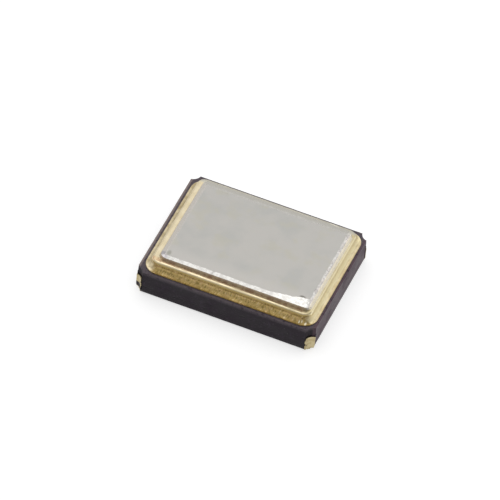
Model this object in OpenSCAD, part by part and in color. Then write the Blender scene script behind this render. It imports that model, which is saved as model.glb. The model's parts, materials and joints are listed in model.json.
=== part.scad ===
// Clock oscillator in a leadless ceramic package, seam sealed with a metal lid.
// Millimetres. The origin is the centre of the footprint, at the underside of the terminals.
// Seen from above, terminal 1 is at the corner of least x and y, and 2, 3 and 4 follow
// anticlockwise.

/* [Ceramic body] */
// Length of the body
body_l = 3.2; // [3.0:0.05:3.6]
// Width of the body
body_w = 2.5; // [2.35:0.05:2.9]
// Thickness of the bottom layer, the floor of the cavity
base_t = 0.14; // [0.1:0.01:0.25]
// Thickness of the middle layer, whose window holds the chip
shelf_t = 0.12; // [0.11:0.01:0.16]
// Thickness of the top layer, whose window holds the crystal
wall_t = 0.20; // [0.15:0.01:0.35]
// Width of the frame left round the crystal's window
frame_w = 0.375; // [0.34:0.005:0.4]
// Corner radius of the crystal's window
cavity_r = 0.12; // [0.06:0.01:0.2]
// Length of the shelf at the crystal's fixed end
fixed_shelf_l = 0.41; // [0.38:0.01:0.44]
// Length of the shelf under the crystal's free end
free_shelf_l = 0.41; // [0.3:0.01:0.44]
// Width of the shelf along each side of the chip's window
side_shelf_w = 0.17; // [0.1:0.01:0.2]
// Corner radius of the chip's window
window_r = 0.08; // [0.05:0.01:0.15]

/* [Scored edges] */
// How far the score line sets back the top edges
top_score_in = 0.008; // [0.005:0.001:0.03]
// How deep the score line runs down from the top
top_score_h = 0.12; // [0.08:0.01:0.15]
// How far in the upper, flatter slope of the score line begins
score_bend_in = 0.002; // [0.001:0.001:0.004]
// How deep that slope runs down from the top
score_bend_h = 0.05; // [0.03:0.01:0.06]
// How far the score line sets back the bottom edges
bottom_score_in = 0.012; // [0.005:0.001:0.02]
// How deep the score line runs up from the bottom
bottom_score_h = 0.04; // [0.02:0.01:0.06]

/* [Terminals] */
// Length of each pad
pad_l = 0.95; // [0.8:0.05:1.1]
// Width of each pad
pad_w = 0.8; // [0.7:0.05:0.9]
// Thickness of each pad
pad_t = 0.02; // [0.015:0.005:0.03]
// Ceramic left bare between a pad and the body's edges
pad_inset = 0.06; // [0.04:0.01:0.08]
// Radius of the plated notch at each corner
notch_r = 0.14; // [0.12:0.01:0.16]
// How far outside the body's corner the notch's centre lies, lost where the sheet was parted
notch_out = 0.02; // [0:0.005:0.03]
// Thickness of the metal that lines the notch
lining_t = 0.015; // [0.01:0.005:0.02]
// Bevel on the inner corner of pad 1, which marks it
pad_mark = 0.2; // [0.1:0.05:0.3]

/* [Printed conductors] */
// Thickness of the printed tungsten
trace_t = 0.012; // [0.01:0.001:0.015]
// Width of a trace
trace_w = 0.08; // [0.06:0.01:0.1]
// Radius of a filled via
via_r = 0.04; // [0.03:0.005:0.05]
// Distance of the ring's via from the corner of the body
via_from_corner = 0.4; // [0.38:0.01:0.42]
// Side of the square land under each bump
bump_land = 0.1; // [0.09:0.01:0.12]

/* [Chip] */
// Length of the chip
chip_l = 0.95; // [0.8:0.05:1.1]
// Width of the chip
chip_w = 0.85; // [0.7:0.05:1.0]
// Thickness of the chip
chip_t = 0.09; // [0.07:0.01:0.1]
// Distance between bumps along the chip
bump_pitch = 0.31; // [0.28:0.01:0.34]
// Distance between the two rows of bumps
bump_row_gap = 0.54; // [0.48:0.02:0.6]
// Height of a pressed bump
bump_h = 0.02; // [0.015:0.005:0.025]
// Radius of a pressed bump at its waist
bump_r = 0.04; // [0.03:0.005:0.045]

/* [Crystal] */
// Thickness of the quartz blank
blank_t = 0.07; // [0.04:0.01:0.08]
// Gap between the blank's fixed end and the frame
fixed_gap = 0.2; // [0.18:0.01:0.22]
// Gap between the blank's free end and the frame
free_gap = 0.3; // [0.15:0.05:0.35]
// Gap between the blank's sides and the frame
side_gap = 0.25; // [0.15:0.05:0.3]
// Thickness of the metal film on the blank
film_t = 0.006; // [0.004:0.001:0.01]
// Quartz left bare at each end of the exciting electrode
electrode_end_gap = 0.425; // [0.35:0.005:0.5]
// Quartz left bare along each side of the exciting electrode
electrode_side_gap = 0.2; // [0.18:0.01:0.24]
// Width of the lead from the electrode to the blank's end
lead_w = 0.12; // [0.08:0.02:0.14]
// Length of the film that wraps onto the other face
wrap_l = 0.2; // [0.15:0.05:0.25]
// Radius of an adhesive dot at its foot
dot_r = 0.14; // [0.12:0.01:0.15]
// Depth of adhesive under the blank
dot_gap = 0.025; // [0.02:0.005:0.04]
// How far a dot rises over the blank's upper face
dot_cap = 0.025; // [0.02:0.005:0.035]
// Distance from a dot's centre to the blank's end
dot_in = 0.03; // [0.02:0.01:0.05]
// Distance from a dot's centre to the blank's side
dot_side = 0.2; // [0.18:0.01:0.25]
// Land left bare round the foot of a dot
land_margin = 0.015; // [0.01:0.005:0.02]

/* [Seal] */
// Ceramic left bare outside the seal
bare_margin = 0.07; // [0.05:0.01:0.09]
// Thickness of the metal fired onto the ceramic
metallisation_t = 0.01; // [0.008:0.001:0.015]
// Thickness of braze under the ring
braze_t = 0.02; // [0.015:0.005:0.03]
// How far the braze spreads out from the ring's wall
fillet_w = 0.1; // [0.07:0.01:0.11]
// Height of the braze fillet up the ring's wall
fillet_h = 0.1; // [0.08:0.01:0.12]
// Thickness of the fillet at its toe and at its top
fillet_edge = 0.008; // [0.006:0.001:0.012]
// Height of the ring
ring_h = 0.15; // [0.13:0.01:0.25]
// Outer corner radius of the ring
ring_r = 0.15; // [0.12:0.01:0.2]
// Rounding of the ring's top edge
ring_edge_r = 0.04; // [0.02:0.005:0.045]
// How far the ring's inner wall stands back from the crystal's window
ring_setback = 0.02; // [0.015:0.005:0.03]
// How far the seal's print lies off the body's centre, along the length
seal_shift = 0.015; // [0:0.005:0.03]

/* [Lid] */
// Thickness of the lid
lid_t = 0.08; // [0.07:0.01:0.12]
// Ring left bare at each end of the lid
lid_end_setback = 0.09; // [0.06:0.005:0.1]
// Ring left bare along each side of the lid
lid_side_setback = 0.11; // [0.06:0.005:0.12]
// How far the lid was laid off the ring's centre, along the length
lid_shift_l = 0.035; // [-0.04:0.005:0.04]
// How far the lid was laid off the ring's centre, along the width
lid_shift_w = -0.015; // [-0.02:0.005:0.02]
// Corner radius of the lid
lid_r = 0.1; // [0.06:0.01:0.14]
// Width of the track that the welding rollers press into each edge
track_w = 0.1; // [0.05:0.005:0.12]
// How far the track falls towards the edge
track_drop = 0.035; // [0.02:0.005:0.05]

/* [Hidden] */
$fn = 64;

// A cutter reaches this far past what it cuts.
cut = 0.05;

// Levels, each where the piece below ends.
z_floor = pad_t + base_t;
z_shelf = z_floor + shelf_t;
z_top = z_shelf + wall_t;
z_braze = z_top + metallisation_t;
z_ring = z_braze + braze_t;
z_lid = z_ring + ring_h;
z_bumps = z_floor + trace_t;
z_chip = z_bumps + bump_h;
z_land = z_shelf + trace_t;
z_blank = z_land + dot_gap + film_t;

// The two windows.
cavity_l = body_l - 2 * frame_w;
cavity_w = body_w - 2 * frame_w;
window_l = cavity_l - fixed_shelf_l - free_shelf_l;
window_w = cavity_w - 2 * side_shelf_w;
window_x = (fixed_shelf_l - free_shelf_l) / 2;

// The notch in the ceramic is wider than the plated one by its lining.
hole_r = notch_r + lining_t;

// The blank, held at its end of least x.
blank_l = cavity_l - fixed_gap - free_gap;
blank_w = cavity_w - 2 * side_gap;
blank_end = fixed_gap - cavity_l / 2;
electrode_l = blank_l - 2 * electrode_end_gap;
electrode_w = blank_w - 2 * electrode_side_gap;
dot_x = blank_end + dot_in;
dot_y = blank_w / 2 - dot_side;
dot_h = dot_gap + 2 * film_t + blank_t + dot_cap;
dot_land = 2 * (dot_r + land_margin);

// The seal, from the outside in.
seal_l = body_l - 2 * bare_margin;
seal_w = body_w - 2 * bare_margin;
ring_l = seal_l - 2 * fillet_w;
ring_w = seal_w - 2 * fillet_w;
seal_r = ring_r + fillet_w;
ring_hole_l = cavity_l + 2 * ring_setback;
ring_hole_w = cavity_w + 2 * ring_setback;
ring_hole_r = cavity_r + ring_setback;
lid_l = ring_l - 2 * lid_end_setback;
lid_w = ring_w - 2 * lid_side_setback;

// Corners of the body, as [x, y] signs, in the order of the terminals.
ENABLE = [-1, -1];
GROUND = [1, -1];
OUTPUT = [1, 1];
SUPPLY = [-1, 1];
CORNERS = [ENABLE, GROUND, OUTPUT, SUPPLY];

// Colours, as the pieces show them.
ceramic_colour = [0.18, 0.16, 0.18];
gold_colour = [0.80, 0.73, 0.52];
tungsten_colour = [0.42, 0.42, 0.44];
silicon_colour = [0.34, 0.37, 0.42];
quartz_colour = [0.88, 0.92, 0.94, 0.6];
silver_colour = [0.86, 0.86, 0.84];
adhesive_colour = [0.66, 0.66, 0.64];
braze_colour = [0.62, 0.52, 0.34];
lid_colour = [0.73, 0.73, 0.71];

// A corner of the body, and the centre of the notch there.
function corner_of(c) = [c.x * body_l / 2, c.y * body_w / 2];
function notch_centre(c) = corner_of(c) + notch_out * c;

// The chip has two rows of three bumps: column -1 is nearest the crystal's fixed end.
function bump_at(column, row) = [window_x + column * bump_pitch, row * bump_row_gap / 2];

// Each outer terminal's bump: the two at the fixed end's corners stand in the middle column.
function terminal_bump(c) = bump_at(c.x < 0 ? 0 : 1, c.y);

// The point of the ground trace that the ring's via stands on.
function via_point() =
    let (
        far = corner_of(GROUND),
        near = terminal_bump(GROUND)
    )
    far + (near - far) * via_from_corner / norm(near - far);

// A rectangle with round corners, about the origin.
module rounded_rectangle(l, w, r) {
    square([l - 2 * r, w], center = true);
    square([l, w - 2 * r], center = true);
    for (x = [-1, 1], y = [-1, 1])
        translate([x * (l / 2 - r), y * (w / 2 - r)])
            circle(r);
}

// A flat plate with round corners, from height z up.
module rounded_plate(l, w, r, z, t) {
    translate([0, 0, z])
        linear_extrude(t)
            rounded_rectangle(l, w, r);
}

// A block whose side, turned round its four corners, is the profile that the children draw:
// x runs out from the axis of a corner to r, and y is height.
module turned_block(l, w, r, h) {
    run_l = l - 2 * r;
    run_w = w - 2 * r;
    translate([-run_l / 2, -run_w / 2, 0])
        cube([run_l, run_w, h]);
    for (quarter = [0:3]) {
        along = quarter % 2 == 0;
        run = along ? run_w : run_l;
        out = along ? run_l / 2 : run_w / 2;
        rotate(90 * quarter)
            translate([out, run / 2, 0])
                rotate([90, 0, 0])
                    linear_extrude(run)
                        children();
        rotate(90 * quarter)
            translate([out, run / 2, 0])
                rotate_extrude(angle = 90)
                    children();
    }
}

// A strip with round ends between two points, from height z up.
module strip(from, to, w, z, t) {
    span = to - from;
    translate([from.x, from.y, z])
        rotate(atan2(span.y, span.x))
            linear_extrude(t) {
                translate([0, -w / 2])
                    square([norm(span), w]);
                circle(w / 2);
                translate([norm(span), 0])
                    circle(w / 2);
            }
}

// A square land about a point, from height z up.
module land(at, side, z, t) {
    translate([at.x - side / 2, at.y - side / 2, z])
        cube([side, side, t]);
}

// One score-lined outline of the body, across one axis: the sides stand out between the
// two score lines, where the sheet was snapped, and the upper line leaves a soft shoulder.
module snapped_outline(across) {
    half = across / 2;
    h = z_top - pad_t;
    polygon([
        [-half + bottom_score_in, 0],
        [half - bottom_score_in, 0],
        [half, bottom_score_h],
        [half, h - top_score_h],
        [half - score_bend_in, h - score_bend_h],
        [half - top_score_in, h],
        [-half + top_score_in, h],
        [-half + score_bend_in, h - score_bend_h],
        [-half, h - top_score_h],
        [-half, bottom_score_h]
    ]);
}

// The snapped block of ceramic, before anything is cut from it.
module snapped_block() {
    translate([0, 0, pad_t])
        intersection() {
            translate([0, body_w / 2, 0])
                rotate([90, 0, 0])
                    linear_extrude(body_w)
                        snapped_outline(body_l);
            translate([-body_l / 2, 0, 0])
                rotate([90, 0, 90])
                    linear_extrude(body_l)
                        snapped_outline(body_w);
        }
}

// The round notch of one corner, from height z up.
module notch(c, r, z, t) {
    at = notch_centre(c);
    translate([at.x, at.y, z])
        cylinder(r = r, h = t);
}

// Three layers of dark alumina, fired as one: a floor, a shelf with the chip's window and
// a frame with the crystal's window. The printed conductors lie in channels of their own.
module ceramic_body() {
    color(ceramic_colour)
        difference() {
            snapped_block();
            for (c = CORNERS)
                notch(c, hole_r, -cut, z_top + 2 * cut);
            rounded_plate(cavity_l, cavity_w, cavity_r, z_shelf, wall_t + cut);
            translate([window_x, 0, 0])
                rounded_plate(window_l, window_w, window_r, z_floor, shelf_t + cut);
            for (c = CORNERS)
                terminal_trace_shape(c);
            for (row = [-1, 1])
                crystal_trace_shape(row);
        }
}

// A soldering pad under one corner, and the metal that lines the corner's notch up to the
// top of the shelf layer.
module terminal(c, marked = false) {
    at = corner_of(c);
    mark_side = pad_mark * sqrt(2);
    color(gold_colour) {
        difference() {
            translate([
                min(c.x * (body_l / 2 - pad_inset), c.x * (body_l / 2 - pad_inset - pad_l)),
                min(c.y * (body_w / 2 - pad_inset), c.y * (body_w / 2 - pad_inset - pad_w)),
                0
            ])
                cube([pad_l, pad_w, pad_t]);
            notch(c, notch_r, -cut, pad_t + 2 * cut);
            if (marked)
                translate([
                    at.x - c.x * (pad_inset + pad_l),
                    at.y - c.y * (pad_inset + pad_w),
                    -cut
                ])
                    rotate(45)
                        cube([mark_side, mark_side, 4 * cut], center = true);
        }
        intersection() {
            snapped_block();
            difference() {
                notch(c, hole_r, pad_t, base_t + shelf_t);
                notch(c, notch_r, 0, z_top);
            }
        }
    }
}

// The print on the floor layer that joins one bump to the lining of one corner. The ground
// one also carries the filled via that earths the ring and the lid.
module terminal_trace_shape(c) {
    from = terminal_bump(c);
    difference() {
        union() {
            land(from, bump_land, z_floor, trace_t);
            strip(from, corner_of(c), trace_w, z_floor, trace_t);
            if (c == GROUND)
                translate([via_point().x, via_point().y, z_floor])
                    cylinder(r = via_r, h = z_top - z_floor);
        }
        notch(c, hole_r, z_floor - cut, trace_t + 2 * cut);
    }
}

module terminal_trace(c) {
    color(tungsten_colour)
        terminal_trace_shape(c);
}

// The print that joins one bump to one end of the crystal: a trace on the floor layer, a
// filled via through the shelf layer and the land on the shelf.
module crystal_trace_shape(row) {
    from = bump_at(-1, row);
    to = [dot_x, row * dot_y];
    land(from, bump_land, z_floor, trace_t);
    strip(from, to, trace_w, z_floor, trace_t);
    translate([to.x, to.y, z_floor])
        cylinder(r = via_r, h = shelf_t);
    land(to, dot_land, z_shelf, trace_t);
}

module crystal_trace(row) {
    color(tungsten_colour)
        crystal_trace_shape(row);
}

// A gold stud bump, pressed flat between its land and the chip.
module bump(at) {
    color(gold_colour)
        translate([at.x, at.y, z_bumps + bump_h / 2])
            intersection() {
                sphere(r = bump_r);
                cube([4 * bump_r, 4 * bump_r, bump_h], center = true);
            }
}

// The oscillator circuit: a thinned silicon chip, face down on its bumps.
module oscillator_chip() {
    color(silicon_colour)
        translate([window_x - chip_l / 2, -chip_w / 2, z_chip])
            cube([chip_l, chip_w, chip_t]);
}

module blank_shape() {
    translate([blank_end, -blank_w / 2, z_blank])
        cube([blank_l, blank_w, blank_t]);
}

// The crystal: a thin plate of quartz, held at one end only.
module quartz_blank() {
    color(quartz_colour)
        blank_shape();
}

// A metal film on one face of the blank (side 1 is the upper one). Its lead runs to the
// blank's fixed end, turns over it and ends on the other face.
module electrode_shape(side, row) {
    face = side > 0 ? z_blank + blank_t : z_blank - film_t;
    back = side > 0 ? z_blank - film_t : z_blank + blank_t;
    lead_y = row * dot_y - lead_w / 2;
    spot_x = blank_end + electrode_end_gap;
    translate([spot_x, -electrode_w / 2, face])
        cube([electrode_l, electrode_w, film_t]);
    translate([blank_end, lead_y, face])
        cube([spot_x - blank_end + lead_w, lead_w, film_t]);
    translate([blank_end - film_t, lead_y, z_blank - film_t])
        cube([film_t, lead_w, blank_t + 2 * film_t]);
    translate([blank_end, lead_y, back])
        cube([wrap_l, lead_w, film_t]);
}

module top_electrode() {
    color(silver_colour)
        electrode_shape(1, 1);
}

module bottom_electrode() {
    color(silver_colour)
        electrode_shape(-1, -1);
}

// A dot of silver-filled adhesive, which wraps the blank's end and grips both its faces.
module adhesive_dot(row) {
    ball_r = (dot_r * dot_r + dot_h * dot_h) / (2 * dot_h);
    color(adhesive_colour)
        difference() {
            translate([dot_x, row * dot_y, z_land + dot_h - ball_r])
                sphere(r = ball_r);
            translate([dot_x - ball_r - cut, row * dot_y - ball_r - cut, z_land - 2 * ball_r])
                cube([2 * (ball_r + cut), 2 * (ball_r + cut), 2 * ball_r]);
            blank_shape();
            electrode_shape(1, 1);
            electrode_shape(-1, -1);
        }
}

// The metal fired onto the top of the frame, which the braze wets.
module seal_metallisation() {
    color(gold_colour)
        difference() {
            translate([seal_shift, 0, 0])
                rounded_plate(seal_l, seal_w, seal_r, z_top, metallisation_t);
            rounded_plate(cavity_l, cavity_w, cavity_r, z_top - cut, metallisation_t + 2 * cut);
        }
}

// The braze's section: under the ring it is flat, and outside it sweeps up the ring's wall in
// a hollow curve, from a thin toe to a thin top.
module fillet_profile() {
    rise = braze_t + fillet_h;
    hollow_r = min(fillet_w, rise) - fillet_edge;
    hollow_x = ring_r + fillet_edge + hollow_r;
    hollow_y = fillet_edge + hollow_r;
    difference() {
        square([seal_r, rise]);
        translate([hollow_x, hollow_y])
            circle(hollow_r);
        translate([ring_r + fillet_edge, hollow_y])
            square([seal_r, rise]);
        translate([hollow_x, fillet_edge])
            square([seal_r, rise]);
    }
}

// Silver-copper braze: a layer under the ring and a fillet round its wall.
module braze_fillet() {
    color(braze_colour)
        difference() {
            translate([seal_shift, 0, z_braze])
                turned_block(seal_l, seal_w, seal_r, braze_t + fillet_h)
                    fillet_profile();
            translate([seal_shift, 0, 0])
                rounded_plate(ring_l, ring_w, ring_r, z_ring, ring_h);
            rounded_plate(cavity_l, cavity_w, cavity_r, z_braze - cut, braze_t + 2 * cut);
        }
}

// The ring's side, upright, with its top edge rounded.
module ring_profile() {
    square([ring_r, ring_h - ring_edge_r]);
    square([ring_r - ring_edge_r, ring_h]);
    translate([ring_r - ring_edge_r, ring_h - ring_edge_r])
        circle(ring_edge_r);
}

// A gold-plated frame of iron-nickel-cobalt alloy, brazed to the ceramic.
module seal_ring() {
    color(gold_colour)
        difference() {
            translate([seal_shift, 0, z_ring])
                turned_block(ring_l, ring_w, ring_r, ring_h)
                    ring_profile();
            translate([seal_shift, 0, 0])
                rounded_plate(ring_hole_l, ring_hole_w, ring_hole_r, z_ring - cut, ring_h + 2 * cut);
        }
}

// The section of the lid across one axis, with the pressed track along both edges.
module lid_outline(across) {
    half = across / 2;
    polygon([
        [-half, 0],
        [half, 0],
        [half, lid_t - track_drop],
        [half - track_w, lid_t],
        [-half + track_w, lid_t],
        [-half, lid_t - track_drop]
    ]);
}

// A nickel-plated plate of the same alloy, seam welded to the ring along its four edges.
module lid() {
    color(lid_colour)
        translate([seal_shift + lid_shift_l, lid_shift_w, z_lid])
            intersection() {
                rounded_plate(lid_l, lid_w, lid_r, 0, lid_t);
                translate([0, lid_w / 2, 0])
                    rotate([90, 0, 0])
                        linear_extrude(lid_w)
                            lid_outline(lid_l);
                translate([-lid_l / 2, 0, 0])
                    rotate([90, 0, 90])
                        linear_extrude(lid_l)
                            lid_outline(lid_w);
            }
}

ceramic_body();
terminal(ENABLE, marked = true);  // enable_terminal
terminal(GROUND);  // ground_terminal
terminal(OUTPUT);  // output_terminal
terminal(SUPPLY);  // supply_terminal
terminal_trace(ENABLE);  // enable_trace
terminal_trace(GROUND);  // ground_trace
terminal_trace(OUTPUT);  // output_trace
terminal_trace(SUPPLY);  // supply_trace
crystal_trace(-1);  // crystal_trace_front
crystal_trace(1);  // crystal_trace_rear
bump(terminal_bump(ENABLE));  // enable_bump
bump(terminal_bump(GROUND));  // ground_bump
bump(terminal_bump(OUTPUT));  // output_bump
bump(terminal_bump(SUPPLY));  // supply_bump
bump(bump_at(-1, -1));  // crystal_bump_front
bump(bump_at(-1, 1));  // crystal_bump_rear
oscillator_chip();
adhesive_dot(-1);  // adhesive_dot_front
adhesive_dot(1);  // adhesive_dot_rear
quartz_blank();
top_electrode();
bottom_electrode();
seal_metallisation();
braze_fillet();
seal_ring();
lid();
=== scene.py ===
import json
import math

import bmesh
import bpy
from mathutils import Matrix, Vector


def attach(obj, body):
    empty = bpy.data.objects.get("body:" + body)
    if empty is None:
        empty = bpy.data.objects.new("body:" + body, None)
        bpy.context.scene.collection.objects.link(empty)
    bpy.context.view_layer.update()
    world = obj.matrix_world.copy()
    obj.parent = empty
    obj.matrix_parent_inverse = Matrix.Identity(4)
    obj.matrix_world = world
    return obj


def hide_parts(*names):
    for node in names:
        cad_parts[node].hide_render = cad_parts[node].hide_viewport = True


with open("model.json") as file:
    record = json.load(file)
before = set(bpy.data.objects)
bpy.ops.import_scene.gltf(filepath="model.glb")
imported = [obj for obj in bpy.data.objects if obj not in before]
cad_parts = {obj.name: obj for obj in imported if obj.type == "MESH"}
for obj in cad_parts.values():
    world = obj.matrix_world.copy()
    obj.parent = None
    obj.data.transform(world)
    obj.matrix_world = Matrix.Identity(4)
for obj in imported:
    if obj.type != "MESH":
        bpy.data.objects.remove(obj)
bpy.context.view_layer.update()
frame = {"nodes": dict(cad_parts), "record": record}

# The camera.
# A long lens looks down on the front right of the package, as the photograph does: the
# length runs down to the right, and the camera is turned a little on its own axis.
MM = 0.001
VIEW_AZIMUTH = math.radians(17.98)
VIEW_ELEVATION = math.radians(46.03)
VIEW_ROLL = math.radians(-6.36)
VIEW_DISTANCE = 113.6 * MM
PHOTO_SIDE_PX = 500
PIXELS_PER_MM = 60.15
CENTRE_PX = (250.9, 271.75)
LOOK_AT = Vector((0, 0, 0.02 * MM))
SENSOR_MM = 36
CLIP_REACH = 20

forward = Vector((
    -math.sin(VIEW_AZIMUTH) * math.cos(VIEW_ELEVATION),
    math.cos(VIEW_AZIMUTH) * math.cos(VIEW_ELEVATION),
    -math.sin(VIEW_ELEVATION),
))
level_right = Vector((math.cos(VIEW_AZIMUTH), math.sin(VIEW_AZIMUTH), 0))
level_up = level_right.cross(forward)
right = math.cos(VIEW_ROLL) * level_right - math.sin(VIEW_ROLL) * level_up
up = math.sin(VIEW_ROLL) * level_right + math.cos(VIEW_ROLL) * level_up
middle = PHOTO_SIDE_PX / 2
aside = right * (middle - CENTRE_PX[0]) / PIXELS_PER_MM * MM
above = up * (CENTRE_PX[1] - middle) / PIXELS_PER_MM * MM
bpy.ops.object.select_all(action="DESELECT")
bpy.ops.object.camera_add(location=LOOK_AT - forward * VIEW_DISTANCE + aside + above)
camera = bpy.context.object
camera.name = "camera"
camera.rotation_euler = Matrix((right, up, -forward)).transposed().to_euler()
camera.data.sensor_width = SENSOR_MM
camera.data.lens = VIEW_DISTANCE / MM * PIXELS_PER_MM * SENSOR_MM / PHOTO_SIDE_PX
camera.data.clip_start = VIEW_DISTANCE / CLIP_REACH
camera.data.clip_end = VIEW_DISTANCE * CLIP_REACH
bpy.context.scene.camera = camera


# Ceramic body.
# Three layers of dark alumina tape, pressed and fired as one block and snapped out of a
# scored sheet. The snapped sides are rough and stand proud of the soft score lines.
BODY_HALF_L, BODY_HALF_W = 1.6, 1.25
BODY_BOTTOM, BODY_TOP = 0.02, 0.48
LAYER_LINES = (0.16, 0.28)
SIDE_BAND = 0.09
SIDE_SLICE = 0.032
SIDE_RUNS = 0.035
SIDE_RUNS_FROM, SIDE_RUNS_TO = BODY_BOTTOM + 0.07, 0.34
SIDE_TILT, SIDE_FACING = 0.7, 0.6
SCORED_SHARE = 0.5
HAIR = 0.001
MERGE_WITHIN = 0.0002
FLAT_WITHIN = math.radians(0.5)


def work_on(piece):
    """Makes the piece the only one that is selected, and the active one."""
    bpy.ops.object.select_all(action="DESELECT")
    piece.select_set(True)
    bpy.context.view_layer.objects.active = piece


def pick(piece, kind, test):
    """In edit mode, selects the vertices, edges or faces that pass the test, and no others."""
    bpy.ops.mesh.select_mode(type=kind)
    shape = bmesh.from_edit_mesh(piece.data)
    for items in (shape.verts, shape.edges, shape.faces):
        for item in items:
            item.select = False
    found = 0
    for item in {"VERT": shape.verts, "EDGE": shape.edges, "FACE": shape.faces}[kind]:
        if test(item):
            item.select_set(True)
            found += 1
    bmesh.update_edit_mesh(piece.data)
    return found


def slice_faces(piece, axis, start, stop, step, test):
    """Cuts the faces that pass the test with planes across one axis, about a step apart."""
    count = round((stop - start) / step)
    for i in range(count + 1):
        if pick(piece, "FACE", test):
            point, across = [0, 0, 0], [0, 0, 0]
            point[axis] = start + (stop - start) * i / count
            across[axis] = 1
            bpy.ops.mesh.bisect(plane_co=point, plane_no=across)


def copy_of_node(node, name):
    """A copy of a CAD node in millimetres and in edit mode, its triangles joined to flat faces."""
    piece = bpy.data.objects.new(name, frame["nodes"][node].data.copy())
    bpy.context.collection.objects.link(piece)
    work_on(piece)
    piece.data.materials.clear()
    piece.scale = (1 / MM, 1 / MM, 1 / MM)
    bpy.ops.object.transform_apply(location=True, rotation=True, scale=True)
    bpy.ops.mesh.customdata_custom_splitnormals_clear()
    bpy.ops.object.mode_set(mode="EDIT")
    bpy.ops.mesh.select_all(action="SELECT")
    bpy.ops.mesh.remove_doubles(threshold=MERGE_WITHIN)
    bpy.ops.mesh.dissolve_limited(angle_limit=FLAT_WITHIN)
    return piece


def group_of(piece, name, weight):
    """In object mode, a vertex group whose weights come from each vertex's place."""
    group = piece.vertex_groups.new(name=name)
    for vertex in piece.data.vertices:
        share = weight(vertex.co)
        if share > 0:
            group.add([vertex.index], min(share, 1), "REPLACE")
    return group.name


def roughen(piece, group, lump, depth, direction="NORMAL", middle=1.25):
    """Moves the group's surface by depth times (a cloudy pattern from 0 to 1, less the middle).

    The lumps are about this size. With the middle over 1 it only goes inwards.
    """
    texture = bpy.data.textures.new(f"{piece.name}_{group}_{lump}", type="CLOUDS")
    texture.noise_scale = lump
    texture.noise_depth = 2
    press = piece.modifiers.new("press", "DISPLACE")
    press.texture = texture
    press.texture_coords = "LOCAL"
    press.vertex_group = group
    press.direction = direction
    press.strength = depth
    press.mid_level = middle
    work_on(piece)
    bpy.ops.object.modifier_apply(modifier=press.name)


def put_in_place(piece, node, crease, shift=(0, 0)):
    """Brings a piece from millimetres to metres and to its place, and shades it smooth.

    It is tied to the root body, and the CAD node that it replaces is hidden.
    """
    work_on(piece)
    piece.scale = (MM, MM, MM)
    piece.location = (shift[0] * MM, shift[1] * MM, 0)
    bpy.ops.object.transform_apply(location=True, rotation=True, scale=True)
    bpy.ops.object.shade_smooth_by_angle(angle=math.radians(crease))
    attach(piece, "root")
    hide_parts(node)


def is_outer_side(face):
    centre, normal = face.calc_center_median(), face.normal
    outside = abs(centre.x) > BODY_HALF_L - SIDE_BAND or abs(centre.y) > BODY_HALF_W - SIDE_BAND
    level = max(abs(normal.x), abs(normal.y))
    return outside and abs(normal.z) < SIDE_TILT and level > SIDE_FACING


def on_side(place):
    """How far a point belongs to the snapped sides: half at the top and bottom edges."""
    if abs(place.x) < BODY_HALF_L - SIDE_BAND and abs(place.y) < BODY_HALF_W - SIDE_BAND:
        return 0
    edge = place.z < BODY_BOTTOM + HAIR or place.z > BODY_TOP - HAIR
    return SCORED_SHARE if edge else 1


ceramic = copy_of_node("ceramic_body", "ceramic_block")
slice_faces(ceramic, 0, -BODY_HALF_L, BODY_HALF_L, SIDE_SLICE, is_outer_side)
slice_faces(ceramic, 1, -BODY_HALF_W, BODY_HALF_W, SIDE_SLICE, is_outer_side)
slice_faces(ceramic, 2, SIDE_RUNS_FROM, SIDE_RUNS_TO, SIDE_RUNS, is_outer_side)
bpy.ops.object.mode_set(mode="OBJECT")
snapped = group_of(ceramic, "snapped", on_side)
roughen(ceramic, snapped, lump=0.35, depth=0.008)
roughen(ceramic, snapped, lump=0.07, depth=0.005)
bpy.ops.object.mode_set(mode="EDIT")
# A few points end up to 0.004 mm past the planes of the sides, and go back into them.
for axis, half in ((0, BODY_HALF_L), (1, BODY_HALF_W)):
    for side in (-1, 1):
        if pick(ceramic, "VERT", lambda vertex: side * vertex.co[axis] > half):
            flat, plane = [1, 1, 1], [0, 0, 0]
            flat[axis] = 0
            plane[axis] = side * half
            bpy.ops.transform.resize(value=flat, center_override=plane)
bpy.ops.object.mode_set(mode="OBJECT")


def finish_of(name, colour, metallic, roughness, specular=0.5):
    """A new material with plain values on its shader."""
    finish = bpy.data.materials.new(name)
    finish.use_nodes = True
    shader = finish.node_tree.nodes["Principled BSDF"]
    shader.inputs["Base Color"].default_value = (*colour, 1)
    shader.inputs["Metallic"].default_value = metallic
    shader.inputs["Roughness"].default_value = roughness
    shader.inputs["Specular IOR Level"].default_value = specular
    return finish


def place_in(finish, stretch=(1, 1, 1), turn=(0, 0, 0)):
    """The place on the piece in millimetres, stretched or turned for a pattern."""
    nodes, links = finish.node_tree.nodes, finish.node_tree.links
    source = nodes.new("ShaderNodeTexCoord")
    mapping = nodes.new("ShaderNodeMapping")
    mapping.vector_type = "TEXTURE"
    mapping.inputs["Scale"].default_value = [MM / share for share in stretch]
    mapping.inputs["Rotation"].default_value = [math.radians(angle) for angle in turn]
    links.new(source.outputs["Object"], mapping.inputs["Vector"])
    return mapping.outputs["Vector"]


def specks(finish, size, detail=3, stretch=(1, 1, 1), turn=(0, 0, 0)):
    """A cloudy pattern from 0 to 1 whose patches are about this size in millimetres."""
    nodes, links = finish.node_tree.nodes, finish.node_tree.links
    noise = nodes.new("ShaderNodeTexNoise")
    noise.inputs["Scale"].default_value = 1 / size
    noise.inputs["Detail"].default_value = detail
    links.new(place_in(finish, stretch, turn), noise.inputs["Vector"])
    return noise.outputs["Fac"]


def along(finish, axis):
    """One coordinate of the place on the piece, in millimetres."""
    nodes, links = finish.node_tree.nodes, finish.node_tree.links
    split = nodes.new("ShaderNodeSeparateXYZ")
    links.new(place_in(finish), split.inputs["Vector"])
    return split.outputs[axis]


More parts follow.
